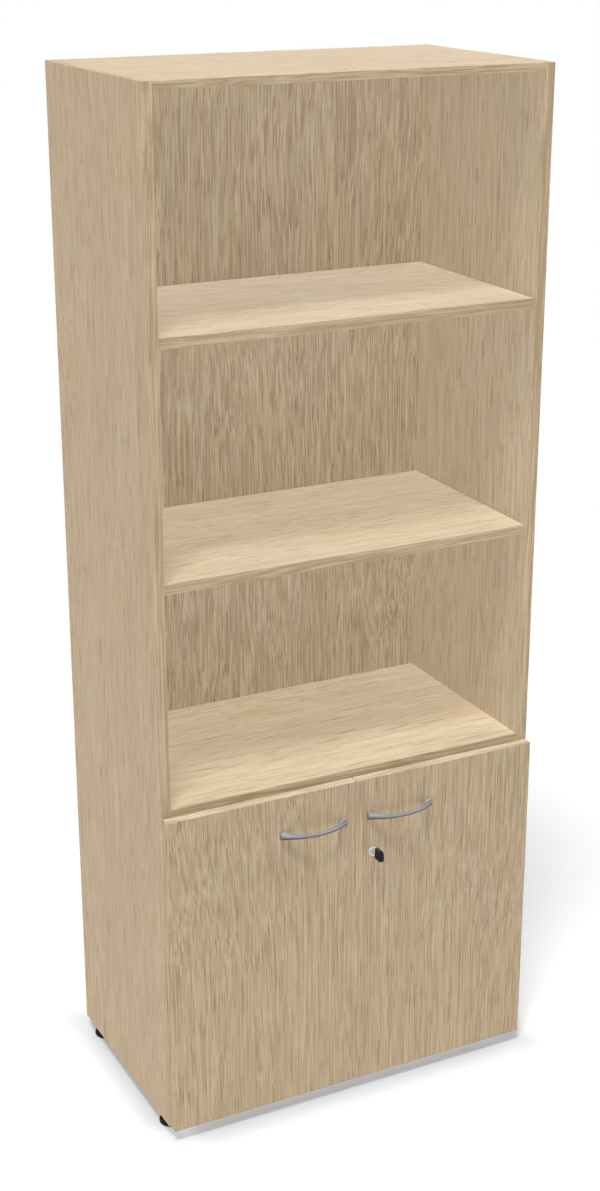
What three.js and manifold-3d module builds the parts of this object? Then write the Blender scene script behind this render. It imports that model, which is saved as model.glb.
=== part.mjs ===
// Tall office bookcase: three open bays above a two-door cupboard.
// Millimetres, +X to the right, +Y to the back, +Z up.
// Dimensions below are given from the front plane of the carcass (y = 0) and the floor (z = 0);
// the whole group is then shifted along Y so that the origin is the bottom centre of the bounding box.
import * as THREE from "three";
import { mergeVertices } from "three/addons/utils/BufferGeometryUtils.js";
import Module from "manifold-3d";

const wasm = await Module();
wasm.setup();

// ---------------------------------------------------------------- dimensions
const WIDTH = 752; // outside of the two sides
const DEPTH = 421.5; // carcass, without the doors
const HEIGHT = 1900;
const BOARD = 19; // sides, shelves, bottom, doors
const TOP_BOARD = 14; // the top lies between the sides
const LIFT = 25.5; // floor to the underside of the boards
const GLUE = 0.05; // glue line between boards

const BACK_T = 8; // back panel, in a groove all round
const BACK_Y = 400; // its front face
const GROOVE = 7.5; // depth of that groove in the sides and the bottom
const TOP_GROOVE = 5;
const GROOVE_SLACK = 0.25;

const SHELF_UPPER_Z = 1501.2; // top faces
const SHELF_MIDDLE_Z = 1084.8;
const FIXED_SHELF_Z = 669.4;
const SHELF_CUPBOARD_Z = 350;
const BOTTOM_Z = LIFT + BOARD;
const SHELF_SETBACK = 4.3;
const CUPBOARD_SHELF_SETBACK = 32; // clears the lock, the bolt and the hinges
const SHELF_END_GAP = 1; // loose shelves, each end

const PIN_R = 2.5;
const PIN_FRONT_Y = 52;
const PIN_BACK_Y = 352;
const PIN_SOCKET = 9; // depth of the hole in the side

const DOOR_TOP = 657.5;
const DOOR_BOTTOM = LIFT;
const DOOR_BACK_Y = -2;
const DOOR_FRONT_Y = DOOR_BACK_Y - BOARD;
const DOOR_OUTER_X = 373; // 3 mm inside the face of the side
const DOOR_INNER_X = 1.25; // half of the gap between the doors

// cup hinges: pivot line, cup and the pin of the small link on the arm
const PIVOT_X = 368;
const PIVOT_Y = -10;
const CUP_X = 351.5;
const CUP_R = 17.2;
const CUP_HOLLOW_R = 16;
const CUP_DEPTH = 12.5;
const LINK_X = 350;
const LINK_Y = -10.5;
const HINGE_LOW_Z = 125.5;
const HINGE_HIGH_Z = 557.5;

const HANDLE_X = 89; // centre of each handle
const HANDLE_Z = 583.5;
const HANDLE_HALF = 67.4; // half of its overall length
const HANDLE_SCREW = 64; // 128 mm between the screws
const HANDLE_REACH = 28.6; // from the door's face
const HANDLE_END_T = 7.5;
const HANDLE_MID_T = 4.5;
const HANDLE_END_H = 6.8; // half heights
const HANDLE_MID_H = 3.7;

const LOCK_X = 35;
const LOCK_Z = 507.5;
const LOCK_COLLAR_R = 9.2;
const BARREL_R = 6;
const KEY_FRONT_Y = -58;

const FOOT_X = 349;
const FOOT_FRONT_Y = 50;
const FOOT_BACK_Y = 380;
const FOOT_R = 24;

const inner = WIDTH / 2 - BOARD; // inner face of a side
const outer = WIDTH / 2;
const middleY = (DEPTH + KEY_FRONT_Y) / 2; // the shift along Y

// ---------------------------------------------------------------- materials
const finish = (color, roughness, metalness) =>
  new THREE.MeshStandardMaterial({ color, roughness, metalness });
const oak = () => finish(0xbca88a, 0.55, 0);
const oakLight = () => finish(0xd8c3a0, 0.55, 0);
const satinMetal = () => finish(0x9a9c9f, 0.35, 1);
const nickel = () => finish(0xb9babc, 0.25, 1);
const castMetal = () => finish(0xa6a7a8, 0.4, 1);
const blackPlastic = () => finish(0x1b1b1c, 0.5, 0);
const greyPlastic = () => finish(0xc9c9c6, 0.5, 0);
const clearRubber = () => finish(0xd9d9d2, 0.7, 0);

// ---------------------------------------------------------------- solids
function facingOut(geometry) {
  const g = geometry.index ? geometry.toNonIndexed() : geometry;
  const bare = new THREE.BufferGeometry().setAttribute(
    "position",
    g.getAttribute("position"),
  );
  const merged = mergeVertices(bare, 1e-3);
  const p = merged.attributes.position;
  const old = merged.index.array;
  const kept = [];
  let volume = 0;
  const a = new THREE.Vector3();
  const b = new THREE.Vector3();
  const c = new THREE.Vector3();
  for (let i = 0; i < old.length; i += 3) {
    const [u, v, w] = [old[i], old[i + 1], old[i + 2]];
    if (u === v || v === w || w === u) continue;
    kept.push(u, v, w);
    a.fromBufferAttribute(p, u);
    b.fromBufferAttribute(p, v);
    c.fromBufferAttribute(p, w);
    volume += a.dot(b.cross(c));
  }
  if (volume < 0)
    for (let i = 0; i < kept.length; i += 3)
      [kept[i + 1], kept[i + 2]] = [kept[i + 2], kept[i + 1]];
  merged.setIndex(kept);
  return merged;
}

function solid(geometry) {
  const g = facingOut(geometry);
  return new wasm.Manifold(
    new wasm.Mesh({
      numProp: 3,
      vertProperties: new Float32Array(g.attributes.position.array),
      triVerts: new Uint32Array(g.index.array),
    }),
  );
}

function geometryOf(body) {
  const m = body.getMesh();
  const g = new THREE.BufferGeometry();
  g.setAttribute(
    "position",
    new THREE.BufferAttribute(new Float32Array(m.vertProperties), 3),
  );
  g.setIndex(new THREE.BufferAttribute(new Uint32Array(m.triVerts), 1));
  return g;
}

const cut = (base, ...tools) =>
  geometryOf(tools.reduce((s, t) => s.subtract(solid(t)), solid(base)));
const join = (base, ...more) =>
  geometryOf(more.reduce((s, t) => s.add(solid(t)), solid(base)));
const common = (base, other) => geometryOf(solid(base).intersect(solid(other)));

const block = (x0, x1, y0, y1, z0, z1) =>
  new THREE.BoxGeometry(x1 - x0, y1 - y0, z1 - z0).translate(
    (x0 + x1) / 2,
    (y0 + y1) / 2,
    (z0 + z1) / 2,
  );

// A round rod along one axis, from a to b; the other two coordinates of its axis are p and q.
function rod(axis, r, a, b, p, q, sides = 24, r2 = r) {
  const g = new THREE.CylinderGeometry(r2, r, b - a, sides);
  const mid = (a + b) / 2;
  if (axis === "x") return g.rotateZ(-Math.PI / 2).translate(mid, p, q);
  if (axis === "y") return g.translate(p, mid, q);
  return g.rotateX(Math.PI / 2).translate(p, q, mid);
}

// A turned piece: the profile is [radius, along] from one end of the axis to the other.
function turned(axis, profile, p, q, sides = 32) {
  const g = new THREE.LatheGeometry(
    profile.map(([r, h]) => new THREE.Vector2(r, h)),
    sides,
  );
  if (axis === "x") return g.rotateZ(-Math.PI / 2).translate(0, p, q);
  if (axis === "y") return g.translate(p, 0, q);
  return g.rotateX(Math.PI / 2).translate(p, q, 0);
}

const outline = (points) =>
  new THREE.Shape(points.map(([u, v]) => new THREE.Vector2(u, v)));

// Plan outline in X and Y, extruded upwards.
const slab = (points, z0, z1) =>
  new THREE.ExtrudeGeometry(outline(points), {
    depth: z1 - z0,
    bevelEnabled: false,
  }).translate(0, 0, z0);

// Side outline in Y and Z, extruded along X.
const intoX = new THREE.Matrix4().set(0, 0, 1, 0, 1, 0, 0, 0, 0, 1, 0, 0, 0, 0, 0, 1);
const sideSlab = (points, x0, x1) =>
  slab(points, x0, x1).applyMatrix4(intoX);

// Front outline in X and Z, extruded along Y.
const intoY = new THREE.Matrix4().set(1, 0, 0, 0, 0, 0, -1, 0, 0, 1, 0, 0, 0, 0, 0, 1);
const frontSlab = (points, y0, y1) =>
  slab(points, -y1, -y0).applyMatrix4(intoY);

const arc = (cx, cy, r, from, to, steps) =>
  Array.from({ length: steps + 1 }, (_, i) => {
    const t = ((from + ((to - from) * i) / steps) * Math.PI) / 180;
    return [cx + r * Math.cos(t), cy + r * Math.sin(t)];
  });

const mirrored = (points) => points.map(([x, y]) => [-x, y]).reverse();

// ---------------------------------------------------------------- assembly
const bookcase = new THREE.Group();
bookcase.position.y = -middleY;
const carcass = new THREE.Group();
const doors = new THREE.Group();
const feet = new THREE.Group();
bookcase.add(carcass, doors, feet);

// Each mesh is centred on itself and placed by its position.
function piece(name, geometry, material, parent) {
  const g = facingOut(geometry);
  g.computeBoundingBox();
  const centre = g.boundingBox.getCenter(new THREE.Vector3());
  g.translate(-centre.x, -centre.y, -centre.z);
  g.computeVertexNormals();
  const mesh = new THREE.Mesh(g, material);
  mesh.name = name;
  mesh.position.copy(centre);
  parent.add(mesh);
  return mesh;
}

const sides = [
  ["left", -1],
  ["right", 1],
];
const span = (s, a, b) => (s > 0 ? [a, b] : [-b, -a]); // an X range on one side

// ---------------------------------------------------------------- boards
const looseShelves = [
  ["shelf_upper", SHELF_UPPER_Z, SHELF_SETBACK],
  ["shelf_middle", SHELF_MIDDLE_Z, SHELF_SETBACK],
  ["shelf_cupboard", SHELF_CUPBOARD_Z, CUPBOARD_SHELF_SETBACK],
];
const pinY = [
  ["front", PIN_FRONT_Y],
  ["back", PIN_BACK_Y],
];
const pinZ = (top) => top - BOARD - PIN_R - 0.1;

for (const [side, s] of sides) {
  const [g0, g1] = span(s, inner, inner + GROOVE + 0.3);
  const tools = [
    block(
      ...(s > 0 ? [g0 - 1, g1] : [g0, g1 + 1]),
      BACK_Y - GROOVE_SLACK,
      BACK_Y + BACK_T + GROOVE_SLACK,
      BOTTOM_Z - GROOVE - 0.3,
      HEIGHT - TOP_BOARD + TOP_GROOVE + 0.3,
    ),
  ];
  for (const [, top] of looseShelves)
    for (const [, y] of pinY) {
      const [a, b] = span(s, inner - 1, inner + PIN_SOCKET);
      tools.push(rod("x", PIN_R + 0.3, a, b, y, pinZ(top), 8));
    }
  const [x0, x1] = span(s, inner, outer);
  piece(
    `side_panel_${side}`,
    cut(block(x0, x1, 0, DEPTH, LIFT, HEIGHT), ...tools),
    oak(),
    carcass,
  );
}

piece(
  "top_panel",
  cut(
    block(-inner + GLUE, inner - GLUE, 0, DEPTH, HEIGHT - TOP_BOARD, HEIGHT),
    block(
      -inner - 1,
      inner + 1,
      BACK_Y - GROOVE_SLACK,
      BACK_Y + BACK_T + GROOVE_SLACK,
      HEIGHT - TOP_BOARD - 1,
      HEIGHT - TOP_BOARD + TOP_GROOVE + 0.3,
    ),
  ),
  oakLight(),
  carcass,
);

const footPlaces = [
  ["front_left", -FOOT_X, FOOT_FRONT_Y],
  ["front_right", FOOT_X, FOOT_FRONT_Y],
  ["back_left", -FOOT_X, FOOT_BACK_Y],
  ["back_right", FOOT_X, FOOT_BACK_Y],
];
piece(
  "bottom_panel",
  cut(
    block(-inner + GLUE, inner - GLUE, 0, DEPTH, LIFT, BOTTOM_Z),
    block(
      -inner - 1,
      inner + 1,
      BACK_Y - GROOVE_SLACK,
      BACK_Y + BACK_T + GROOVE_SLACK,
      BOTTOM_Z - GROOVE - 0.3,
      BOTTOM_Z + 1,
    ),
    ...footPlaces.map(([, x, y]) =>
      rod("z", 6.2, LIFT - 1, BOTTOM_Z + 1, x, y, 14),
    ),
  ),
  oak(),
  carcass,
);

piece(
  "back_panel",
  block(
    -inner - GROOVE,
    inner + GROOVE,
    BACK_Y,
    BACK_Y + BACK_T,
    BOTTOM_Z - GROOVE,
    HEIGHT - TOP_BOARD + TOP_GROOVE,
  ),
  oak(),
  carcass,
);

// The fixed shelf closes the cupboard; a blind hole near its front takes the left door's bolt.
const BOLT_X = -31;
const BOLT_Y = 13;
piece(
  "fixed_shelf",
  cut(
    block(
      -inner + GLUE,
      inner - GLUE,
      SHELF_SETBACK,
      BACK_Y - GLUE,
      FIXED_SHELF_Z - BOARD,
      FIXED_SHELF_Z,
    ),
    block(
      BOLT_X - 4,
      BOLT_X + 4,
      BOLT_Y - 4,
      BOLT_Y + 4,
      FIXED_SHELF_Z - BOARD - 1,
      FIXED_SHELF_Z - BOARD + 13,
    ),
  ),
  oakLight(),
  carcass,
);

for (const [name, top, setback] of looseShelves) {
  const end = inner - SHELF_END_GAP;
  piece(
    name,
    block(-end, end, setback, BACK_Y - 2, top - BOARD, top),
    oakLight(),
    carcass,
  );
  const level = name.replace("shelf_", "");
  for (const [side, s] of sides)
    for (const [place, y] of pinY) {
      // plug in the side, thin flange, round peg under the shelf
      const profile = [
        [0, inner + PIN_SOCKET - 0.5],
        [2.4, inner + PIN_SOCKET - 0.5],
        [2.4, inner - GLUE],
        [3.5, inner - GLUE],
        [3.5, inner - 0.8],
        [PIN_R, inner - 0.8],
        [PIN_R, inner - 9],
        [1.7, inner - 10],
        [0, inner - 10],
      ].map(([r, x]) => [r, s * x]);
      piece(
        `pin_${level}_${place}_${side}`,
        turned("x", profile, y, pinZ(top), 8),
        nickel(),
        carcass,
      );
    }
}

// ---------------------------------------------------------------- doors
const hingeZ = [
  ["top", HINGE_HIGH_Z],
  ["bottom", HINGE_LOW_Z],
];

for (const [side, s] of sides) {
  const [x0, x1] = span(s, DOOR_INNER_X, DOOR_OUTER_X);
  const tools = hingeZ.map(([, z]) =>
    rod(
      "y",
      CUP_R + 0.3,
      DOOR_BACK_Y - CUP_DEPTH - 0.3,
      DOOR_BACK_Y + 1,
      s * CUP_X,
      z,
      26,
    ),
  );
  for (const e of [-1, 1])
    tools.push(
      rod(
        "y",
        2.3,
        DOOR_FRONT_Y - 1,
        DOOR_BACK_Y + 1,
        s * HANDLE_X + e * HANDLE_SCREW,
        HANDLE_Z,
        12,
      ),
    );
  if (s > 0)
    tools.push(
      rod("y", 8.3, DOOR_FRONT_Y - 1, DOOR_BACK_Y + 1, LOCK_X, LOCK_Z, 24),
    );
  piece(
    `door_${side}`,
    cut(
      block(x0, x1, DOOR_FRONT_Y, DOOR_BACK_Y, DOOR_BOTTOM, DOOR_TOP),
      ...tools,
    ),
    oak(),
    doors,
  );
}

// Bow handle: an arc in plan, thick at its feet and thin in the middle,
// cut to a height that is greatest at the feet.
function bowHandle(cx) {
  const face = DOOR_FRONT_Y - GLUE;
  const out = face - HANDLE_REACH;
  const along = 28;
  const rise = HANDLE_REACH - HANDLE_END_T;
  const R = (HANDLE_HALF ** 2 + rise ** 2) / (2 * rise);
  const foot = 9;
  const innerHalf = HANDLE_HALF - foot;
  const innerRise = HANDLE_REACH - HANDLE_MID_T;
  const r = (innerHalf ** 2 + innerRise ** 2) / (2 * innerRise);
  const plan = [];
  for (let i = 0; i <= along; i++) {
    const x = -HANDLE_HALF + (2 * HANDLE_HALF * i) / along;
    plan.push([cx + x, out + R - Math.sqrt(R * R - x * x)]);
  }
  plan.push([cx + HANDLE_HALF, face]);
  for (let i = 0; i <= along; i++) {
    const x = innerHalf - (2 * innerHalf * i) / along;
    plan.push([
      cx + x,
      Math.min(
        face,
        out + HANDLE_MID_T + r - Math.sqrt(Math.max(0, r * r - x * x)),
      ),
    ]);
  }
  plan.push([cx - HANDLE_HALF, face]);
  const band = slab(plan, HANDLE_Z - 10, HANDLE_Z + 10);
  const front = [];
  const h = (x) =>
    HANDLE_MID_H + (HANDLE_END_H - HANDLE_MID_H) * (x / HANDLE_HALF) ** 2;
  const n = 16;
  for (let i = 0; i <= n; i++) {
    const x = -HANDLE_HALF - 1 + ((2 * HANDLE_HALF + 2) * i) / n;
    front.push([cx + x, HANDLE_Z - h(x)]);
  }
  for (let i = n; i >= 0; i--) {
    const x = -HANDLE_HALF - 1 + ((2 * HANDLE_HALF + 2) * i) / n;
    front.push([cx + x, HANDLE_Z + h(x)]);
  }
  const profile = frontSlab(front, out - 2, face + 2);
  return cut(
    common(band, profile),
    ...[-1, 1].map((e) =>
      rod("y", 2.2, face - 4.4, face + 1, cx + e * HANDLE_SCREW, HANDLE_Z, 12),
    ),
  );
}

for (const [side, s] of sides) {
  piece(`handle_${side}`, bowHandle(s * HANDLE_X), satinMetal(), doors);
  for (const [place, e] of [
    ["inner", -s],
    ["outer", s],
  ]) {
    const back = DOOR_BACK_Y + GLUE;
    piece(
      `handle_screw_${side}_${place}`,
      turned(
        "y",
        [
          [0, DOOR_FRONT_Y - 4],
          [1.2, DOOR_FRONT_Y - 4],
          [1.9, DOOR_FRONT_Y - 3.3],
          [1.9, back],
          [4.2, back],
          [4.0, back + 1.2],
          [2.6, back + 2.1],
          [0, back + 2.3],
        ],
        s * HANDLE_X + e * HANDLE_SCREW,
        HANDLE_Z,
        12,
      ),
      nickel(),
      doors,
    );
  }
}

// ---------------------------------------------------------------- hinges
for (const [side, s] of sides)
  for (const [level, z] of hingeZ) {
    const back = DOOR_BACK_Y;
    // Pressed cup with a flange on the door's inside and two screwed wings.
    const cup = turned(
      "y",
      [
        [0, back - CUP_DEPTH],
        [CUP_R - 1.5, back - CUP_DEPTH],
        [CUP_R, back - CUP_DEPTH + 1.5],
        [CUP_R, back + GLUE],
        [19.2, back + GLUE],
        [19.2, back + 0.8],
        [CUP_HOLLOW_R, back + 0.8],
        [CUP_HOLLOW_R, back - CUP_DEPTH + 2.2],
        [CUP_HOLLOW_R - 1.2, back - CUP_DEPTH + 1],
        [0, back - CUP_DEPTH + 1],
      ],
      s * CUP_X,
      z,
      26,
    );
    const [w0, w1] = span(s, CUP_X - 6, CUP_X + 6);
    const wings = [-1, 1].flatMap((e) => [
      block(
        w0,
        w1,
        back + GLUE,
        back + 0.8,
        z + (e > 0 ? 17.5 : -30),
        z + (e > 0 ? 30 : -17.5),
      ),
      rod("y", 3.6, back + 0.4, back + 1.2, s * CUP_X, z + e * 24, 10),
    ]);
    piece(
      `hinge_cup_${side}_${level}`,
      join(cup, ...wings),
      nickel(),
      doors,
    );

    // Arm with its mounting plate on the side; the narrow tip carries the link's pin.
    const arm = [
      [inner - 2, 62],
      [inner - 2, 18],
      [LINK_X + 2.4, 6],
      ...arc(LINK_X, LINK_Y, 2.4, 0, -180, 8),
      [LINK_X - 2.4, 3],
      [inner - 13, 14],
      [inner - 13, 58],
      [inner - 11, 62],
    ];
    const armBody = slab(s > 0 ? arm : mirrored(arm), z - 7, z + 7);
    const [n0, n1] = span(s, LINK_X - 6, LINK_X + 10);
    const tipCut = (z0, z1) => block(n0, n1, LINK_Y - 4, LINK_Y + 3.4, z0, z1);
    const [p0, p1] = span(s, inner - 2.2, inner - GLUE);
    const [q0, q1] = span(s, inner - 5.5, inner - 2);
    const pin = rod("z", 1, z - 5.2, z + 5.2, s * LINK_X, LINK_Y, 8);
    const screws = [-1, 1].map((e) => {
      const [a, b] = span(s, inner - 3.2, inner - 2);
      return rod("x", 3.6, a, b, 37, z + e * 16, 10);
    });
    piece(
      `hinge_arm_${side}_${level}`,
      join(
        cut(
          armBody,
          tipCut(z + 3, z + 9),
          tipCut(z - 9, z - 3),
        ),
        block(p0, p1, 22, 60, z - 8, z + 8),
        block(p0, p1, 31, 43, z - 22, z + 22),
        block(q0, q1, 24, 58, z - 6.5, z + 6.5),
        pin,
        ...screws,
      ),
      nickel(),
      carcass,
    );

    // Bent link: two cheeks round the arm's tip, one strap into the cup.
    const bend = [9, 2.6];
    const tip = [12.2, 6.2];
    const strap = [
      ...arc(LINK_X, LINK_Y, 2.2, 250, 110, 6),
      [LINK_X + 1.2, LINK_Y + 2.1],
      [LINK_X + bend[0] - 0.9, LINK_Y + bend[1] + 1.1],
      [LINK_X + tip[0] - 1.1, LINK_Y + tip[1] + 0.7],
      [LINK_X + tip[0] + 0.6, LINK_Y + tip[1] + 0.9],
      [LINK_X + tip[0] + 1.1, LINK_Y + tip[1] - 0.7],
      [LINK_X + bend[0] + 1.0, LINK_Y + bend[1] - 1.1],
      [LINK_X + 1.6, LINK_Y - 1.9],
    ];
    const [c0, c1] = span(s, LINK_X - 4, LINK_X + 4.6);
    piece(
      `hinge_link_${side}_${level}`,
      cut(
        slab(s > 0 ? strap : mirrored(strap), z - 4.8, z + 4.8),
        block(c0, c1, LINK_Y - 5, LINK_Y + 5, z - 3.3, z + 3.3),
        rod("z", 1.35, z - 6, z + 6, s * LINK_X, LINK_Y, 8),
      ),
      nickel(),
      doors,
    );
  }

// ---------------------------------------------------------------- lock on the right door
{
  const back = DOOR_BACK_Y + GLUE;
  const front = DOOR_FRONT_Y - GLUE;
  const boltHoles = [-1, 1].map((e) =>
    rod("y", 2, back - 1, back + 14, LOCK_X + e * 11.5, LOCK_Z - 17, 12),
  );
  piece(
    "lock_housing",
    cut(
      join(
        block(LOCK_X - 16, LOCK_X + 16, back, back + 9, LOCK_Z - 22, LOCK_Z + 13),
        turned(
          "y",
          [
            [0, front - 2.4],
            [LOCK_COLLAR_R - 0.8, front - 2.4],
            [LOCK_COLLAR_R, front - 1.6],
            [LOCK_COLLAR_R, front],
            [8, front],
            [8, back + 4],
            [0, back + 4],
          ],
          LOCK_X,
          LOCK_Z,
          24,
        ),
      ),
      rod("y", BARREL_R + 0.3, front - 4, back + 12, LOCK_X, LOCK_Z, 20),
      ...boltHoles,
    ),
    castMetal(),
    doors,
  );

  const face = front - 2.9;
  piece(
    "lock_barrel",
    cut(
      join(
        turned(
          "y",
          [
            [0, face],
            [BARREL_R - 0.6, face],
            [BARREL_R, face + 0.6],
            [BARREL_R, back + 9.5],
            [0, back + 9.5],
          ],
          LOCK_X,
          LOCK_Z,
          20,
        ),
        block(LOCK_X - 3, LOCK_X + 3, back + 8, back + 13, LOCK_Z - 3, LOCK_Z + 3),
      ),
      block(LOCK_X - 1.5, LOCK_X + 1.5, face - 1, back + 2, LOCK_Z - 4.5, LOCK_Z + 4.5),
      rod("y", 1.6, back + 5, back + 14, LOCK_X, LOCK_Z, 12),
    ),
    nickel(),
    doors,
  );

  // The cam hangs down when unlocked; a quarter turn swings it behind the left door.
  const camOutline = [
    ...arc(LOCK_X, LOCK_Z, 8, -20, 200, 14),
    [LOCK_X - 6, LOCK_Z - 20],
    [LOCK_X - 6, LOCK_Z - 45],
    [LOCK_X - 4, LOCK_Z - 48],
    [LOCK_X + 4, LOCK_Z - 48],
    [LOCK_X + 6, LOCK_Z - 45],
    [LOCK_X + 6, LOCK_Z - 20],
  ];
  piece(
    "lock_cam",
    cut(
      frontSlab(camOutline, back + 9.8, back + 12.3),
      block(
        LOCK_X - 3.3,
        LOCK_X + 3.3,
        back + 8,
        back + 15,
        LOCK_Z - 3.3,
        LOCK_Z + 3.3,
      ),
    ),
    nickel(),
    doors,
  );
  piece(
    "lock_cam_screw",
    turned(
      "y",
      [
        [0, back + 6],
        [1.3, back + 6],
        [1.3, back + 13.3],
        [5, back + 13.3],
        [4.8, back + 14.4],
        [3.4, back + 15.3],
        [0, back + 15.5],
      ],
      LOCK_X,
      LOCK_Z,
      16,
    ),
    nickel(),
    doors,
  );

  // Key: flat blade in the slot; its moulded head stands clear of the lock's face.
  const headBack = face - 9;
  piece(
    "key_blade",
    sideSlab(
      [
        [back - 1, LOCK_Z - 1.5],
        [back - 4, LOCK_Z - 4],
        [back - 8, LOCK_Z - 3],
        [back - 10, LOCK_Z - 4],
        [back - 13, LOCK_Z - 2.8],
        [back - 16, LOCK_Z - 4],
        [headBack - 14, LOCK_Z - 4],
        [headBack - 14, LOCK_Z + 4],
        [back - 3, LOCK_Z + 4],
        [back - 1, LOCK_Z + 1.5],
      ],
      LOCK_X - 1.1,
      LOCK_X + 1.1,
    ),
    nickel(),
    doors,
  );
  const headZ = LOCK_Z + 2.6;
  const headLong = (headBack - KEY_FRONT_Y) / 2;
  const headMid = (headBack + KEY_FRONT_Y) / 2;
  const oval = (k) => {
    const pts = [];
    for (let i = 0; i < 28; i++) {
      const t = (i / 28) * 2 * Math.PI;
      const c = Math.cos(t);
      const n = Math.sin(t);
      const e = c > 0 ? 0.18 : 0.62; // squarer towards the lock, rounder outside
      pts.push([
        headMid + (headLong - k) * Math.sign(c) * Math.abs(c) ** e,
        headZ + (11.1 - k) * Math.sign(n) * Math.abs(n) ** e,
      ]);
    }
    return pts;
  };
  piece(
    "key_head",
    cut(
      join(
        sideSlab(oval(0), LOCK_X - 2.5, LOCK_X + 2.5),
        sideSlab(oval(0.9), LOCK_X - 3.4, LOCK_X + 3.4),
      ),
      block(
        LOCK_X - 1.4,
        LOCK_X + 1.4,
        headBack - 14.4,
        headBack + 2,
        LOCK_Z - 4.3,
        LOCK_Z + 4.3,
      ),
    ),
    blackPlastic(),
    doors,
  );

  // Strike on the left door, in front of the turned cam.
  piece(
    "strike_block",
    cut(
      sideSlab(
        [
          [back, LOCK_Z - 17],
          [back + 3, LOCK_Z - 17],
          [back + 8.9, LOCK_Z - 10],
          [back + 8.9, LOCK_Z + 10],
          [back + 3, LOCK_Z + 17],
          [back, LOCK_Z + 17],
        ],
        -16,
        -4,
      ),
      rod("y", 1.9, back - 1, back + 12, -10, LOCK_Z, 12),
    ),
    blackPlastic(),
    doors,
  );

  // Bolt that holds the left door to the fixed shelf.
  const boltHalf = 3;
  piece(
    "bolt_guide",
    cut(
      join(
        block(BOLT_X - 8, BOLT_X + 8, back, BOLT_Y + 5.5, 617, 645),
        block(BOLT_X - 16, BOLT_X + 16, back, back + 2.2, 619, 643),
      ),
      block(
        BOLT_X - boltHalf - 0.35,
        BOLT_X + boltHalf + 0.35,
        BOLT_Y - boltHalf - 0.35,
        BOLT_Y + boltHalf + 0.35,
        615,
        647,
      ),
      rod("y", 1.9, back - 1, back + 5, BOLT_X - 12, 631, 12),
      rod("y", 1.9, back - 1, back + 5, BOLT_X + 12, 631, 12),
    ),
    castMetal(),
    doors,
  );
  piece(
    "bolt_slide",
    join(
      block(
        BOLT_X - boltHalf,
        BOLT_X + boltHalf,
        BOLT_Y - boltHalf,
        BOLT_Y + boltHalf,
        594,
        648,
      ),
      rod("y", 4, BOLT_Y - 1, BOLT_Y + 11, BOLT_X, 599, 20, 4.8),
    ),
    nickel(),
    doors,
  );
}

// Soft stop at the lower free corner of each door.
for (const [side, s] of sides)
  piece(
    `door_buffer_${side}`,
    turned(
      "y",
      [
        [0, DOOR_BACK_Y + GLUE],
        [4, DOOR_BACK_Y + GLUE],
        [4, DOOR_BACK_Y + 0.9],
        [2.6, DOOR_BACK_Y + 1.7],
        [0, DOOR_BACK_Y + 1.8],
      ],
      s * 60,
      LIFT + 9.5,
      14,
    ),
    clearRubber(),
    doors,
  );

// ---------------------------------------------------------------- levelling feet
for (const [place, x, y] of footPlaces) {
  piece(
    `foot_socket_${place}`,
    turned(
      "z",
      [
        [4.3, LIFT - 2.6],
        [13, LIFT - 2.6],
        [14, LIFT - 1.8],
        [14, LIFT - GLUE],
        [5.8, LIFT - GLUE],
        [5.8, BOTTOM_Z - 2],
        [4.3, BOTTOM_Z - 2],
        [4.3, LIFT - 2.6],
      ],
      x,
      y,
      14,
    ),
    greyPlastic(),
    feet,
  );
  piece(
    `foot_glide_${place}`,
    turned(
      "z",
      [
        [0, 0],
        [FOOT_R - 1, 0],
        [FOOT_R, 1],
        [FOOT_R, 5],
        [FOOT_R - 1.5, 7],
        [10, 10],
        [8, 17],
        [4, 17],
        [4, BOTTOM_Z - 1.5],
        [0, BOTTOM_Z - 1.5],
      ],
      x,
      y,
      22,
    ),
    blackPlastic(),
    feet,
  );
}

export default bookcase;
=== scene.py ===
import math

import bmesh
import bpy
from mathutils import Matrix, Vector


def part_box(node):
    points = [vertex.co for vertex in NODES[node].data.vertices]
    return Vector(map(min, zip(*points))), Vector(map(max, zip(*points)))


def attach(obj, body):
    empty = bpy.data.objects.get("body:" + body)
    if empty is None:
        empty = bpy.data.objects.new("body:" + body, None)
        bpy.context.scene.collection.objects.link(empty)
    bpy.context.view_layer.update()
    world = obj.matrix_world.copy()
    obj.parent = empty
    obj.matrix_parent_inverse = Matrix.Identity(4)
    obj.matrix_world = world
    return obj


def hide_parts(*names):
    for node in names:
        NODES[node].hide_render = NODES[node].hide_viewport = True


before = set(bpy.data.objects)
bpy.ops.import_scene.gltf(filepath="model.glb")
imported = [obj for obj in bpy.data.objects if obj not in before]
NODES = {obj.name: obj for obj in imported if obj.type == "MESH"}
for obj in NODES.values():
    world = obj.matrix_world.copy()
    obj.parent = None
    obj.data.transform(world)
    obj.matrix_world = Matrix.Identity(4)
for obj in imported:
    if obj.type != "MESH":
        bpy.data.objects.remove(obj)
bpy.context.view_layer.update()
scene = bpy.context.scene

# ------------------------------------------------------------------ camera
# Solved from the edges of the case, for an image of 600 x 1191.
PITCH, YAW = math.radians(20.23), math.radians(26.95)
FOCAL_PX, IMAGE_H = 1928.85, 1191
cam_data = bpy.data.cameras.new("camera")
cam_data.sensor_fit = "AUTO"
cam_data.sensor_width = 36.0
cam_data.lens = FOCAL_PX * 36.0 / IMAGE_H
cam_data.clip_start, cam_data.clip_end = 0.05, 500
cam = bpy.data.objects.new("camera", cam_data)
scene.collection.objects.link(cam)
look = Vector((math.sin(YAW) * math.cos(PITCH), math.cos(YAW) * math.cos(PITCH), -math.sin(PITCH)))
cam.rotation_euler = look.to_track_quat("-Z", "Y").to_euler()
cam.location = (-1.5225, -2.96975, 2.1787)
scene.camera = cam


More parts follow.
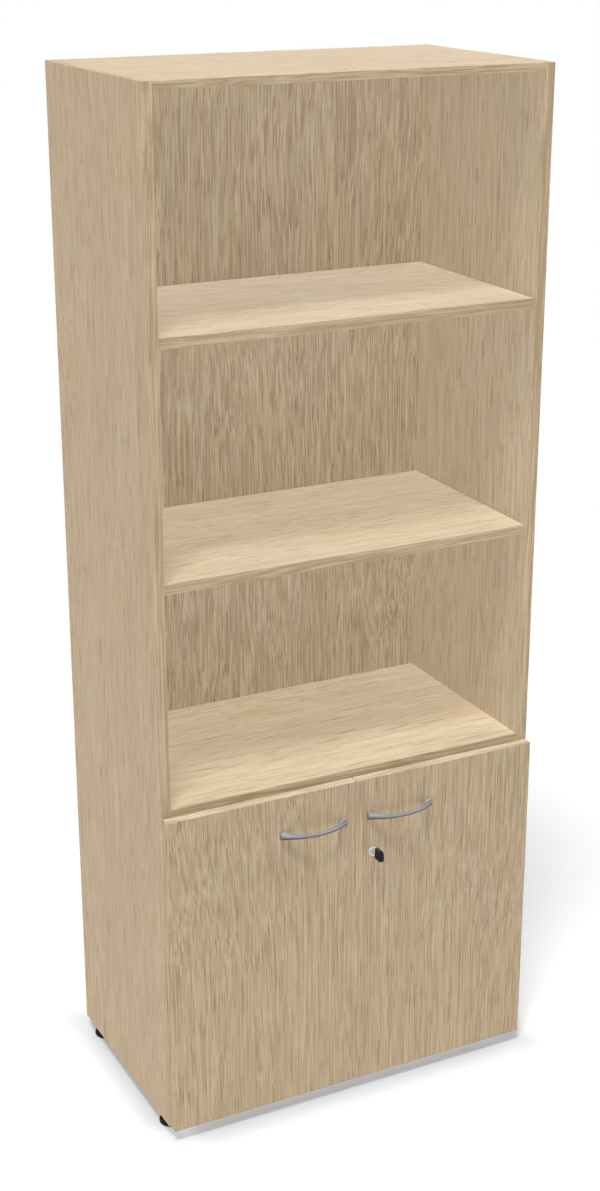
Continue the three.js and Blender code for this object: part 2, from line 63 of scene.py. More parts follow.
# ------------------------------------------------------------------ node helpers
class Tree:
    """Short calls for building a node tree."""

    def __init__(self, tree):
        self.t = tree

    def node(self, kind, **props):
        n = self.t.nodes.new(kind)
        for k, v in props.items():
            setattr(n, k, v)
        return n

    def put(self, socket, value):
        if isinstance(value, bpy.types.NodeSocket):
            self.t.links.new(value, socket)
        elif value is not None:
            socket.default_value = value

    def math(self, op, a, b=None, c=None, clamp=False):
        n = self.node("ShaderNodeMath", operation=op, use_clamp=clamp)
        for i, v in enumerate((a, b, c)):
            self.put(n.inputs[i], v)
        return n.outputs[0]

    def vmath(self, op, a, b=None, scale=None):
        n = self.node("ShaderNodeVectorMath", operation=op)
        self.put(n.inputs[0], a)
        if b is not None:
            self.put(n.inputs[1], b)
        if scale is not None:
            self.put(n.inputs["Scale"], scale)
        return n.outputs["Value"] if op in ("LENGTH", "DOT_PRODUCT") else n.outputs[0]

    def noise(self, vector, scale=1.0, detail=2.0, rough=0.5, distortion=0.0):
        n = self.node("ShaderNodeTexNoise", noise_dimensions="3D")
        self.put(n.inputs["Vector"], vector)
        self.put(n.inputs["Scale"], scale)
        self.put(n.inputs["Detail"], detail)
        self.put(n.inputs["Roughness"], rough)
        self.put(n.inputs["Distortion"], distortion)
        return n.outputs["Fac"] if "Fac" in n.outputs else n.outputs[0]

    def remap(self, value, a, b, c=0.0, d=1.0, kind="SMOOTHSTEP"):
        n = self.node("ShaderNodeMapRange", interpolation_type=kind)
        for name, v in (("Value", value), ("From Min", a), ("From Max", b), ("To Min", c), ("To Max", d)):
            self.put(n.inputs[name], v)
        return n.outputs[0]

    def mix(self, fac, a, b, kind="RGBA", blend="MIX"):
        n = self.node("ShaderNodeMix", data_type=kind)
        if kind == "RGBA":
            n.blend_type = blend
        ins = [s for s in n.inputs if s.enabled]
        self.put(ins[0], fac)
        self.put(ins[1], a)
        self.put(ins[2], b)
        return next(s for s in n.outputs if s.enabled)

    def split(self, vector):
        n = self.node("ShaderNodeSeparateXYZ")
        self.put(n.inputs[0], vector)
        return n.outputs

    def join(self, x, y, z):
        n = self.node("ShaderNodeCombineXYZ")
        for i, v in enumerate((x, y, z)):
            self.put(n.inputs[i], v)
        return n.outputs[0]


def new_material(name):
    m = bpy.data.materials.new(name)
    m.use_nodes = True
    m.node_tree.nodes.clear()
    t = Tree(m.node_tree)
    out = t.node("ShaderNodeOutputMaterial")
    bsdf = t.node("ShaderNodeBsdfPrincipled")
    t.t.links.new(bsdf.outputs[0], out.inputs[0])
    return m, t, bsdf


def srgb(r, g, b):
    def f(v):
        v /= 255
        return v / 12.92 if v <= 0.04045 else ((v + 0.055) / 1.055) ** 2.4

    return (f(r), f(g), f(b), 1.0)


# ------------------------------------------------------------------ oak decor
# The group takes a point with Z along the grain. Metres throughout.
def make_oak():
    g = bpy.data.node_groups.new("oak_grain", "ShaderNodeTree")
    face = g.interface
    face.new_socket("Vector", in_out="INPUT", socket_type="NodeSocketVector")
    for name, value in (("Contrast", 1.0), ("Fine", 1.0), ("Pores", 1.0), ("Tone", 1.0), ("Drift", 1.0), ("Broad", 0.25)):
        s = face.new_socket(name, in_out="INPUT", socket_type="NodeSocketFloat")
        s.default_value = value
    face.new_socket("Tint", in_out="INPUT", socket_type="NodeSocketColor").default_value = (1, 1, 1, 1)
    face.new_socket("Color", in_out="OUTPUT", socket_type="NodeSocketColor")
    face.new_socket("Roughness", in_out="OUTPUT", socket_type="NodeSocketFloat")
    face.new_socket("Height", in_out="OUTPUT", socket_type="NodeSocketFloat")
    t = Tree(g)
    gin, gout = t.node("NodeGroupInput"), t.node("NodeGroupOutput")
    p = gin.outputs["Vector"]
    contrast, pores_in, tone = gin.outputs["Contrast"], gin.outputs["Pores"], gin.outputs["Tone"]

    # the grain wanders: two slow sideways drifts
    drift = t.math("SUBTRACT", t.noise(t.vmath("MULTIPLY", p, (3.2, 3.2, 1.1)), detail=1.0), 0.5)
    drift2 = t.math("SUBTRACT", t.noise(t.vmath("MULTIPLY", p, (16, 16, 5.5)), detail=1.0), 0.5)
    shift = t.math("ADD", t.math("MULTIPLY", drift, 0.050), t.math("MULTIPLY", drift2, 0.0075))
    p = t.vmath("ADD", p, t.join(shift, shift, 0.0))

    def layer(across, along, detail=1.0, rough=0.5):
        n = t.noise(t.vmath("MULTIPLY", p, (across, across, along)), detail=detail, rough=rough)
        return t.math("SUBTRACT", n, 0.5)

    broad = layer(16, 0.7)
    bands = layer(58, 1.5, 2.0)
    streaks = layer(150, 3.2, 2.0)
    fine = layer(455, 4.9, 1.0)
    hair = layer(1100, 20.0, 1.0)
    total = t.math("MULTIPLY", broad, gin.outputs["Broad"])
    for value, weight in ((bands, 0.36), (streaks, 0.66)):
        total = t.math("MULTIPLY_ADD", value, weight, total)
    thin = t.math("MULTIPLY_ADD", hair, 0.95, t.math("MULTIPLY", fine, 2.1))
    total = t.math("MULTIPLY_ADD", thin, gin.outputs["Fine"], total)
    total = t.math("MULTIPLY", total, contrast)
    fac = t.math("ADD", total, 0.5, clamp=True)

    # short dark pores, in drifts
    dash = t.noise(t.vmath("MULTIPLY", p, (420, 420, 16.0)), detail=1.0)
    crowd = t.remap(t.noise(t.vmath("MULTIPLY", p, (34, 34, 2.2)), detail=1.0), 0.36, 0.64, 0.78, 1.0)
    pore = t.math("MULTIPLY", t.math("MULTIPLY", t.remap(dash, 0.58, 0.69), crowd), pores_in)
    pin = t.remap(t.noise(t.vmath("MULTIPLY", p, (2300, 2300, 110)), detail=0.0), 0.60, 0.75)
    pore = t.math("MULTIPLY_ADD", pin, 0.30, pore, clamp=True)

    dark, light = OAK_DARK, OAK_LIGHT
    color = t.mix(fac, dark, light)
    color = t.mix(t.math("MULTIPLY", pore, 0.66), color, OAK_PORE)
    # a slow change of hue from place to place: pinker or greener, warmer or cooler
    pink = t.noise(t.vmath("MULTIPLY", p, (38, 38, 7)), detail=2.0)
    warm = t.noise(t.vmath("MULTIPLY", t.vmath("ADD", p, (5.3, 1.7, 8.1)), (34, 34, 6)), detail=2.0)
    red = t.math("MULTIPLY_ADD", t.math("SUBTRACT", pink, 0.5), t.math("MULTIPLY", gin.outputs["Drift"], 0.115), 1.0)
    blue = t.math("MULTIPLY_ADD", t.math("SUBTRACT", warm, 0.5), t.math("MULTIPLY", gin.outputs["Drift"], 0.20), 0.985)
    green = t.math("MULTIPLY_ADD", red, -0.385, t.math("MULTIPLY_ADD", blue, -0.154, 1.5367))
    color = t.vmath("MULTIPLY", color, t.join(red, green, blue))
    color = t.mix(1.0, color, gin.outputs["Tint"], blend="MULTIPLY")
    scaled = t.vmath("SCALE", color, scale=tone)
    t.put(gout.inputs["Color"], scaled)
    rough = t.math("MULTIPLY_ADD", fac, -0.08, 0.56)
    rough = t.math("MULTIPLY_ADD", pore, 0.16, rough)
    t.put(gout.inputs["Roughness"], rough)
    height = t.math("MULTIPLY_ADD", fine, 0.25, t.math("MULTIPLY", hair, 0.3))
    height = t.math("MULTIPLY_ADD", pore, -0.7, height)
    t.put(gout.inputs["Height"], height)
    return g


OAK_LIGHT = (0.515, 0.407, 0.269, 1)
OAK_DARK = (0.360, 0.2625, 0.158, 1)
OAK_PORE = (0.245, 0.166, 0.095, 1)
EDGE = (1.0, 0.985, 0.95)  # edge bands are slightly browner
OAK = make_oak()
AXIS = {"x": 0, "y": 1, "z": 2}


def board_material(node, through, grain, seed, tone=1.0, contrast=1.0, fine=1.0, pores=1.0, bands="o", edge_tone=1.0, end_tone=None, tint=(1, 1, 1), inner=0, inner_light_tint=(1, 1, 1), inner_fine=1.0, seams=0.45, meet=0, end_hue=None, drift=1.0, broad=0.25):
    """One board's decor. through is the axis of its thickness and grain the axis of the face's grain.
    bands says which edges carry an edge band: o, the long ones beside the grain; g, the ones across it.
    inner is the sign of the face that looks into the case; that face takes its own tint of painted light, which
    offsets the shade and warm bounce inside the bays.
    meet is the sign of the edge that meets the other door; that edge carries painted light, lighter and cooler, which
    cancels the shade in the gap between the doors."""
    across = ({"x", "y", "z"} - {through, grain}).pop()
    m, t, bsdf = new_material(f"oak_{node}")
    coords = t.node("ShaderNodeTexCoord")
    p = t.split(coords.outputs["Object"])
    n = t.split(coords.outputs["Normal"])
    o, th, g = (p[AXIS[a]] for a in (across, through, grain))
    n_face = t.math("GREATER_THAN", t.math("ABSOLUTE", n[AXIS[through]]), 0.75)
    n_end = t.math("GREATER_THAN", t.math("ABSOLUTE", n[AXIS[grain]]), 0.6)
    edge = t.math("SUBTRACT", 1.0, n_face)

    # edge bands carry a coarser, stronger figure; on the ends it runs along the edge
    face_vec = t.join(o, th, g)
    end_vec = t.join(g, th, o)
    vec = t.mix(n_end, face_vec, end_vec, kind="VECTOR")
    vec = t.vmath("MULTIPLY", vec, t.mix(edge, (1, 1, 1), (0.62, 0.62, 0.8), kind="VECTOR"))
    vec = t.vmath("ADD", vec, (seed * 1.37, seed * 0.61, seed * 2.9))
    group = t.node("ShaderNodeGroup", node_tree=OAK)
    t.put(group.inputs["Vector"], vec)
    t.put(group.inputs["Contrast"], t.math("MULTIPLY_ADD", edge, 1.5 * contrast, contrast))
    hue = t.mix(edge, (*tint, 1), (*EDGE, 1))
    # on the door ends the end hue is painted sheen from above
    if end_hue:
        hue = t.mix(n_end, hue, (*end_hue, 1))
    # painted light: the edge that meets the other door turns cooler, against the warm shade in the gap
    if meet:
        gap_light_mask = t.math("GREATER_THAN", t.math("MULTIPLY", n[AXIS[across]], float(meet)), 0.6)
        hue = t.mix(gap_light_mask, hue, (0.96, 1.0, 1.13, 1))
    group.inputs["Drift"].default_value = drift
    group.inputs["Broad"].default_value = broad
    # painted light: the inward face takes its own tint, standing for the light and against the warm bounce inside the
    # bays
    if inner:
        inward = t.math("GREATER_THAN", t.math("MULTIPLY", n[AXIS[through]], float(inner)), 0.75)
        hue = t.mix(inward, hue, (*inner_light_tint, 1))
        t.put(group.inputs["Fine"], t.math("MULTIPLY_ADD", inward, inner_fine - fine, fine))
    else:
        group.inputs["Fine"].default_value = fine
    t.put(group.inputs["Tint"], hue)
    t.put(group.inputs["Pores"], t.math("MULTIPLY_ADD", edge, -0.5 * pores, pores))
    shade = t.math("MULTIPLY_ADD", edge, tone * (edge_tone - 1), tone)
    # on the door ends the end tone is painted light from above
    if end_tone:
        shade = t.math("MULTIPLY_ADD", n_end, tone * (end_tone - edge_tone), shade)
    # painted light: the edge that meets the other door is lightened, to cancel the shade in the gap
    if meet:
        shade = t.math("MULTIPLY_ADD", gap_light_mask, 0.28 * tone, shade)
    t.put(group.inputs["Tone"], shade)

    # distance from the nearest arris, for the joint of the edge band and for wear
    lo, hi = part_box(node)

    def inside(value, axis):
        i = AXIS[axis]
        return t.math("MINIMUM", t.math("SUBTRACT", value, lo[i]), t.math("SUBTRACT", hi[i], value))

    d_o, d_g, d_t = inside(o, across), inside(g, grain), inside(th, through)
    low = t.math("MINIMUM", d_o, d_g)
    arris = t.math("MAXIMUM", t.math("MINIMUM", low, d_t), t.math("MINIMUM", t.math("MAXIMUM", low, d_t), t.math("MAXIMUM", d_o, d_g)))
    seam_from = d_o if bands == "o" else (low if bands == "og" else d_g)
    seam = t.math("COMPARE", seam_from, 0.0011, 0.00017)
    seam = t.math("MULTIPLY", seam, n_face)
    rub = t.noise(t.vmath("MULTIPLY", coords.outputs["Object"], (40, 40, 40)), detail=3.0, rough=0.6)
    wear = t.math("MULTIPLY", t.remap(arris, 0.0014, 0.0001), t.remap(rub, 0.42, 0.66))
    color = group.outputs["Color"]
    color = t.mix(t.math("MULTIPLY", seam, seams), color, OAK_PORE)
    color = t.mix(t.math("MULTIPLY", wear, 0.30), color, (0.74, 0.62, 0.47, 1))
    # faint handling haze
    haze = t.remap(t.noise(t.vmath("MULTIPLY", coords.outputs["Object"], (5, 5, 5)), detail=4.0, rough=0.6), 0.35, 0.7)
    rough = t.math("MULTIPLY_ADD", haze, 0.06, group.outputs["Roughness"])
    rough = t.math("MULTIPLY_ADD", wear, -0.1, rough)
    t.put(bsdf.inputs["Base Color"], color)
    t.put(bsdf.inputs["Roughness"], rough)
    bsdf.inputs["Specular IOR Level"].default_value = 0.35
    bump = t.node("ShaderNodeBump")
    bump.inputs["Strength"].default_value = 0.35
    bump.inputs["Distance"].default_value = 0.00012
    t.put(bump.inputs["Height"], t.math("MULTIPLY_ADD", seam, -1.8 * seams, group.outputs["Height"]))
    t.put(bsdf.inputs["Normal"], bump.outputs[0])
    return m


# ------------------------------------------------------------------ metal and plastic
def metal(name, color, rough, brush=None, speck=0.5, bump=0.02, metallic=1.0, scratch=0.5, underside_shade=0.0):
    m, t, bsdf = new_material(name)
    coords = t.node("ShaderNodeTexCoord")
    p = coords.outputs["Object"]
    blotch = t.noise(t.vmath("MULTIPLY", p, (55, 55, 55)), detail=4.0, rough=0.6)
    if brush:
        lines = t.noise(t.vmath("MULTIPLY", p, brush), detail=3.0, rough=0.65)
    else:
        lines = t.noise(t.vmath("MULTIPLY", p, (1900, 1900, 1900)), detail=2.0, rough=0.6)
    fac = t.math("MULTIPLY_ADD", t.math("SUBTRACT", blotch, 0.5), 0.9, t.math("MULTIPLY_ADD", t.math("SUBTRACT", lines, 0.5), speck, 0.5), clamp=True)
    dark = tuple(c * 0.80 for c in color[:3]) + (1,)
    light = tuple(min(1, c * 1.14) for c in color[:3]) + (1,)
    tone = t.mix(fac, dark, light)
    if underside_shade:  # painted shade: the underside is darkened, to hold back the floor's bounce light there
        below = t.remap(t.split(coords.outputs["Normal"])[2], 0.22, -0.38)
        tone = t.mix(t.math("MULTIPLY", below, underside_shade), tone, (0.05, 0.05, 0.055, 1))
    t.put(bsdf.inputs["Base Color"], tone)
    bsdf.inputs["Metallic"].default_value = metallic
    r = t.math("MULTIPLY_ADD", t.math("SUBTRACT", blotch, 0.5), 0.25, rough)
    r = t.math("MULTIPLY_ADD", t.math("SUBTRACT", lines, 0.5), 0.22 * scratch, r)
    t.put(bsdf.inputs["Roughness"], r)
    b = t.node("ShaderNodeBump")
    b.inputs["Strength"].default_value = 0.5
    b.inputs["Distance"].default_value = bump / 1000
    t.put(b.inputs["Height"], lines)
    t.put(bsdf.inputs["Normal"], b.outputs[0])
    return m


def plastic(name, color, rough=0.5, grain=1400, bump=0.03, scuff=0.25, subsurface=0.0, shine=0.5):
    m, t, bsdf = new_material(name)
    coords = t.node("ShaderNodeTexCoord")
    p = coords.outputs["Object"]
    pebble = t.noise(t.vmath("MULTIPLY", p, (grain, grain, grain)), detail=2.0, rough=0.55)
    cloud = t.noise(t.vmath("MULTIPLY", p, (70, 70, 70)), detail=4.0, rough=0.65)
    rubbed = t.remap(cloud, 0.55, 0.75)
    light = tuple(min(1, c * 2.2) for c in color[:3]) + (1,)
    base = t.mix(t.math("MULTIPLY", rubbed, scuff), color, light)
    dark = tuple(c * 0.8 for c in color[:3]) + (1,)
    base = t.mix(t.remap(pebble, 0.35, 0.6, 0.5, 0.0), base, dark)
    t.put(bsdf.inputs["Base Color"], base)
    t.put(bsdf.inputs["Roughness"], t.math("MULTIPLY_ADD", t.math("SUBTRACT", cloud, 0.5), 0.3, t.math("MULTIPLY_ADD", t.math("SUBTRACT", pebble, 0.5), 0.2, rough)))
    bsdf.inputs["Specular IOR Level"].default_value = shine
    if subsurface:
        bsdf.inputs["Subsurface Weight"].default_value = subsurface
        bsdf.inputs["Subsurface Radius"].default_value = (0.002, 0.002, 0.0018)
        bsdf.inputs["Transmission Weight"].default_value = 0.15
    b = t.node("ShaderNodeBump")
    b.inputs["Strength"].default_value = 0.5
    b.inputs["Distance"].default_value = bump / 1000
    t.put(b.inputs["Height"], pebble)
    t.put(bsdf.inputs["Normal"], b.outputs[0])
    return m


# the satin handles carry painted shade on their undersides
SATIN = metal("satin_metal", (0.30, 0.296, 0.292), 0.5, brush=(60, 2200, 2200), speck=0.35, bump=0.012, metallic=0.6, underside_shade=0.92)
NICKEL = metal("nickel_plate", (0.62, 0.61, 0.59), 0.24, speck=0.25, bump=0.006)
NICKEL_CAP = metal("nickel_lock", (0.58, 0.58, 0.575), 0.38, speck=0.2, bump=0.004, metallic=0.55)
CAST = metal("cast_zinc", (0.50, 0.50, 0.505), 0.42, speck=0.6, bump=0.03)
BLACK = plastic("black_plastic", (0.0075, 0.0095, 0.012, 1), 0.5, bump=0.02, scuff=0.2, shine=0.16)
BLACK_FOOT = plastic("black_foot", (0.009, 0.009, 0.009, 1), 0.6, bump=0.05, scuff=0.35, shine=0.15)
GREY = plastic("grey_plastic", (0.52, 0.52, 0.50, 1), 0.48)
RUBBER = plastic("clear_rubber", (0.74, 0.74, 0.70, 1), 0.35, grain=500, bump=0.01, subsurface=0.4)


# ------------------------------------------------------------------ finishing the carried-over nodes
def make_smoother():
    g = bpy.data.node_groups.new("smooth_by_angle", "GeometryNodeTree")
    g.interface.new_socket("Geometry", in_out="INPUT", socket_type="NodeSocketGeometry")
    g.interface.new_socket("Geometry", in_out="OUTPUT", socket_type="NodeSocketGeometry")
    t = g.nodes
    gin, gout = t.new("NodeGroupInput"), t.new("NodeGroupOutput")
    faces = t.new("GeometryNodeSetShadeSmooth")
    faces.domain = "FACE"
    faces.inputs["Shade Smooth"].default_value = True
    sharp = t.new("GeometryNodeSetShadeSmooth")
    sharp.domain = "EDGE"
    sharp.inputs["Shade Smooth"].default_value = False
    angle = t.new("GeometryNodeInputMeshEdgeAngle")
    more = t.new("FunctionNodeCompare")
    more.data_type = "FLOAT"
    more.operation = "GREATER_THAN"
    more.inputs["B"].default_value = math.radians(50)
    g.links.new(gin.outputs[0], faces.inputs["Geometry"])
    g.links.new(faces.outputs[0], sharp.inputs["Geometry"])
    g.links.new(angle.outputs["Unsigned Angle"], more.inputs["A"])
    g.links.new(more.outputs[0], sharp.inputs["Selection"])
    g.links.new(sharp.outputs[0], gout.inputs[0])
    return g


SMOOTHER = make_smoother()


def finish_node(name, material, bevel_mm=0.4, segments=2, angle=48):
    o = NODES[name]
    o.data.materials.clear()
    o.data.materials.append(material)
    weld = o.modifiers.new("weld", "WELD")
    weld.merge_threshold = 1e-5
    if bevel_mm:
        b = o.modifiers.new("bevel", "BEVEL")
        b.width = bevel_mm / 1000
        b.segments = segments
        b.limit_method = "ANGLE"
        b.angle_limit = math.radians(angle)
        b.use_clamp_overlap = True
        b.miter_outer = "MITER_ARC"
    s = o.modifiers.new("smooth", "NODES")
    s.node_group = SMOOTHER
    w = o.modifiers.new("normals", "WEIGHTED_NORMAL")
    w.keep_sharp = True
    w.weight = 80


BAY_LIGHT_TINT = (0.93, 0.99, 1.095)  # painted light: faces inside the bays take a greyer, cooler tint that cancels the warm bounce light there
# painted light: the inner faces of the sides are tinted lighter and cooler, against the shade and warm bounce in the
# bays
WALL = dict(through="x", grain="z", tone=0.897, contrast=0.64, fine=1.1, edge_tone=0.985, end_tone=0.98, drift=0.55, broad=0.4, tint=(1.02, 0.997, 0.972), inner_light_tint=(1.12, 1.205, 1.362), inner_fine=1.5)
# painted light: the level boards' top faces take a lighter, cooler tone and tint for the light and sheen from above,
# and edge_tone brings their front edges back down; the top panel takes a lower tone, as the overhead lamp lights it
LEVEL = dict(through="z", grain="x", tone=1.32, contrast=1.06, fine=0.65, drift=0.6, broad=0.5, tint=(0.945, 1.0, 1.065), edge_tone=0.677)
# painted light: the door ends take a lighter, cooler colour for the light and sheen on the door tops from above
DOOR = dict(through="y", grain="z", bands="og", tone=0.79, tint=(1.0, 0.989, 0.983), end_tone=1.065, end_hue=(0.98, 0.997, 1.075), contrast=0.75, fine=2.05, seams=0.1)
BOARDS = {
    "side_panel_left": dict(WALL, seed=1.0, inner=1),
    "side_panel_right": dict(WALL, seed=2.3, inner=-1),
    "back_panel": dict(through="y", grain="z", seed=3.1, contrast=0.78, fine=2.6, pores=1.7, inner=-1, inner_light_tint=BAY_LIGHT_TINT, inner_fine=2.6, drift=0.6),
    "door_left": dict(DOOR, seed=4.7, meet=1),
    "door_right": dict(DOOR, seed=5.9, meet=-1),
    "top_panel": dict(LEVEL, seed=6.2, tone=0.95, tint=(1.0, 1.0, 0.97), edge_tone=0.90),
    "bottom_panel": dict(LEVEL, seed=7.4),
    "fixed_shelf": dict(LEVEL, seed=8.8),
    "shelf_upper": dict(LEVEL, seed=9.5, edge_tone=0.648),
    "shelf_middle": dict(LEVEL, seed=10.6),
    "shelf_cupboard": dict(LEVEL, seed=11.9),
}
for name, look_of in BOARDS.items():
    finish_node(name, board_material(name, **look_of), 0.9, 3, 60)


def small(name):
    if name in ("handle_left", "handle_right"):
        return SATIN, 0.8, 3
    if name.startswith("door_buffer"):
        return RUBBER, 0.3, 2
    if name == "lock_housing":
        return NICKEL_CAP, 0.25, 2
    if name == "bolt_guide":
        return CAST, 0.5, 2
    if name == "lock_barrel":
        return NICKEL_CAP, 0.2, 2
    if name in ("key_head", "strike_block"):
        return BLACK, 0.5, 3
    if name.startswith("foot_glide"):
        return BLACK_FOOT, 0.5, 2
    if name.startswith("foot_socket"):
        return GREY, 0.3, 2
    if name.startswith("hinge_link"):
        return NICKEL, 0.15, 2
    if name.startswith("pin_"):
        return NICKEL, 0.2, 2
    return NICKEL, 0.3, 2


for name in NODES:
    if name not in BOARDS:
        finish_node(name, *small(name))


# ------------------------------------------------------------------ pieces modelled finer than the frame
def object_from(name, verts, faces, material, body):
    me = bpy.data.meshes.new(name)
    me.from_pydata([Vector(v) / 1000 for v in verts], [], faces)
    bm = bmesh.new()
    bm.from_mesh(me)
    bmesh.ops.remove_doubles(bm, verts=bm.verts, dist=1e-7)
    bmesh.ops.recalc_face_normals(bm, faces=bm.faces)
    bm.to_mesh(me)
    bm.free()
    for f in me.polygons:
        f.use_smooth = True
    me.materials.append(material)
    o = bpy.data.objects.new(name, me)
    scene.collection.objects.link(o)
    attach(o, body)
    return o


def lofted(sections):
    """Closed skin over rings of points with equal counts, with a fan at each end."""
    verts, faces = [], []
    n = len(sections[0])
    for ring in sections:
        verts += ring
    for i in range(len(sections) - 1):
        for j in range(n):
            a, b = i * n + j, i * n + (j + 1) % n
            faces.append((a, b, b + n, a + n))
    for start, ring, flip in ((0, sections[0], True), ((len(sections) - 1) * n, sections[-1], False)):
        c = [sum(v[k] for v in ring) / n for k in range(3)]
        verts.append(c)
        for j in range(n):
            tri = (start + j, start + (j + 1) % n, len(verts) - 1)
            faces.append(tri[::-1] if flip else tri)
    return verts, faces


def power(v, e):
    return math.copysign(abs(v) ** e, v)


# Bow handle: an arc in plan and a rounded section, deep and high at the feet and slim in the middle.
OFFSET_Y = -181.75  # from the carcass's front plane to the row's frame
FACE_Y = -21.05 + OFFSET_Y


def bow_handle(side, s):
    cx, cz, half = 89.0 * s, 583.5, 67.4
    reach, end_t, mid_t = 28.6, 7.5, 4.5
    out = FACE_Y - reach
    rise = reach - end_t
    R = (half**2 + rise**2) / (2 * rise)
    inner_half, inner_rise = half - 9, reach - mid_t
    r = (inner_half**2 + inner_rise**2) / (2 * inner_rise)
    soft = 0.9  # radius at the two tips
    tips = [soft * v for v in (0.0, 0.05, 0.18, 0.4, 0.7, 1.0)]
    steps = 72
    stations = [v - half for v in tips]
    stations += [soft - half + 2 * (half - soft) * i / steps for i in range(1, steps)]
    stations += [half - v for v in reversed(tips)]
    rings = []
    around = 40
    for x in stations:
        tip = half - abs(x)
        inset = 0.0 if tip >= soft else soft - math.sqrt(max(0.0, soft**2 - (soft - tip) ** 2))
        front = out + R - math.sqrt(R * R - x * x)
        back = min(FACE_Y, out + mid_t + r - math.sqrt(max(0.0, r * r - x * x))) if abs(x) < inner_half else FACE_Y
        h = 3.7 + 3.1 * (x / half) ** 2 - 0.9 * inset
        front += 0.9 * inset
        foot = min(1.0, max(0.0, (abs(x) - inner_half + 10) / 10))  # the feet stand flat on the door
        mid, deep = (front + back) / 2, (back - front) / 2
        ring = []
        for j in range(around):
            a = 2 * math.pi * j / around
            c, d = math.cos(a), math.sin(a)
            to_back = d > 0
            e_h = 0.85 if not to_back else 0.85 * (1 - foot) + 0.22 * foot
            e_d = 0.95 if not to_back else 0.60 * (1 - foot) + 0.22 * foot
            ring.append((cx + x, mid + deep * power(d, e_d), cz + h * power(c, e_h)))
        rings.append(ring)
    verts, faces = lofted(rings)
    o = object_from(f"bow_handle_{side}", verts, faces, SATIN, f"door_{side}")
    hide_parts(f"handle_{side}")


for side, s in (("left", -1), ("right", 1)):
    bow_handle(side, s)


# Moulded key head: a rounded plate with a soft rim and a shallow thumb hollow on both faces.
def key_head():
    lo, hi = (v * 1000 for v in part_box("key_head"))
    cy, cz = (lo.y + hi.y) / 2, (lo.z + hi.z) / 2
    ly, lz = (hi.y - lo.y) / 2, (hi.z - lo.z) / 2
    cx = (lo.x + hi.x) / 2
    profile = [(7.5, 2.3), (5.2, 2.35), (3.9, 2.6), (3.1, 3.2), (2.2, 3.4), (1.2, 3.35), (0.45, 3.0), (0.1, 2.3), (0, 1.4)]
    layers = profile + [(i, -x) for i, x in reversed(profile)]
    around = 56
    rings = []
    for inset, x in layers:
        ring = []
        for j in range(around):
            a = 2 * math.pi * j / around
            c, d = math.cos(a), math.sin(a)
            e = 0.18 if c > 0 else 0.62
            ring.append((cx + x, cy + (ly - inset) * power(c, e), cz + (lz - inset) * power(d, e)))
        rings.append(ring)
    verts, faces = lofted(rings)
    o = object_from("key_grip", verts, faces, BLACK, "key")
    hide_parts("key_head")


key_head()

# ------------------------------------------------------------------ floor, light
me = bpy.data.meshes.new("floor")
S = 150.0
me.from_pydata([(-S, -S, 0), (S, -S, 0), (S, S, 0), (-S, S, 0)], [], [(0, 1, 2, 3)])
floor = bpy.data.objects.new("floor", me)
scene.collection.objects.link(floor)
m, t, bsdf = new_material("floor_white")
coords = t.node("ShaderNodeTexCoord")
cloud = t.noise(t.vmath("MULTIPLY", coords.outputs["Object"], (3, 3, 3)), detail=3.0)
pale = t.mix(cloud, (0.873, 0.882, 0.899, 1), (0.888, 0.898, 0.915, 1))
# soft painted contact shade close to whatever stands on the floor, from the AO node; it fades out again where the
# floor is almost closed in
near = t.node("ShaderNodeAmbientOcclusion", samples=12)
near.inputs["Distance"].default_value = 0.07
closed = t.math("SUBTRACT", 1.0, near.outputs["AO"])
ring = t.math("MULTIPLY", t.math("POWER", closed, 1.7), t.remap(closed, 0.80, 0.60))
shade = t.mix(1.0, pale, (0.53, 0.60, 0.73, 1), blend="MULTIPLY")
t.put(bsdf.inputs["Base Color"], t.mix(ring, pale, shade))
bsdf.inputs["Roughness"].default_value = 0.9
bsdf.inputs["Specular IOR Level"].default_value = 0.1
me.materials.append(m)

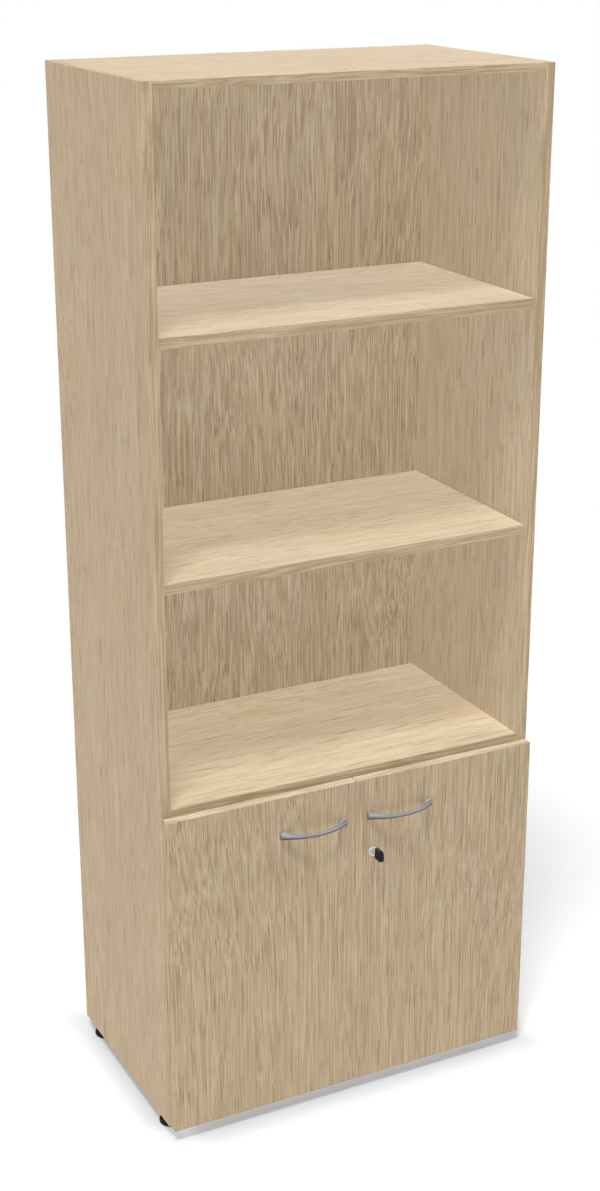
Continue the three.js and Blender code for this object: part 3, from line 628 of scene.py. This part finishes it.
HORIZON, ZENITH = 0.06, 0.06  # brightness of the studio dome
KEY, FILL, SHEEN, TOP, BEAM = 0.465, 0.45, 0.146, 0.58, 0.28
world = bpy.data.worlds.new("studio")
scene.world = world
world.use_nodes = True
wt = Tree(world.node_tree)
world.node_tree.nodes.clear()
wout = wt.node("ShaderNodeOutputWorld")
bg = wt.node("ShaderNodeBackground")
wc = wt.node("ShaderNodeTexCoord")
z = wt.math("MAXIMUM", wt.split(wc.outputs["Generated"])[2], 0.0)
bg.inputs["Color"].default_value = (1, 1, 1, 1)
wt.put(bg.inputs["Strength"], wt.math("MULTIPLY_ADD", wt.math("POWER", z, 2.0), ZENITH - HORIZON, HORIZON))
world.node_tree.links.new(bg.outputs[0], wout.inputs[0])


def sun(name, strength, towards, angle_deg, shadow=True):
    """A distant light. towards points from the object to the light."""
    d = bpy.data.lights.new(name, "SUN")
    d.energy = strength * math.pi
    d.angle = math.radians(angle_deg)
    d.use_shadow = shadow
    o = bpy.data.objects.new(name, d)
    o.rotation_euler = Vector(towards).to_track_quat("Z", "Y").to_euler()
    scene.collection.objects.link(o)
    return o


# the fills are weak and low; of the whole object only the bottom board shades them, on the floor
low = bpy.data.collections.new("shades_the_fills")
low.objects.link(NODES["bottom_panel"])


# the key stands steeply above, in front and to the left; its soft edge falls across the shelves
sun("key", KEY, (-0.28, -0.33, 1), 13)
# an overhead light for the top and the door tops alone
above = sun("overhead", TOP, (0, 0, 1), 8)
lit = bpy.data.collections.new("lit_from_above")
for name in ("top_panel", "side_panel_left", "side_panel_right", "door_left", "door_right"):
    lit.objects.link(NODES[name])
above.light_linking.receiver_collection = lit
# a narrower beam beside the key draws the soft shadows of the handles and the key on the doors
beam = sun("door_key", BEAM, (-0.2, -0.338, 1), 6)
fronts = bpy.data.collections.new("lit_by_the_door_key")
for name in ("door_left", "door_right"):
    fronts.objects.link(NODES[name])
beam.light_linking.receiver_collection = fronts
# the fills keep the bays open, as in a light tent
for i, (az, strength) in enumerate(((63, SHEEN), (130, FILL), (225, FILL), (315, FILL))):
    e = math.radians(26)
    a = math.radians(az)
    fill = sun(f"fill_{i}", strength, (math.cos(a) * math.cos(e), math.sin(a) * math.cos(e), math.sin(e)), 30)
    fill.light_linking.blocker_collection = low
    fill.data.cycles.use_multiple_importance_sampling = False

scene.view_settings.view_transform = "Standard"
scene.view_settings.look = "None"
scene.view_settings.exposure = 0.0
scene.view_settings.gamma = 1.0
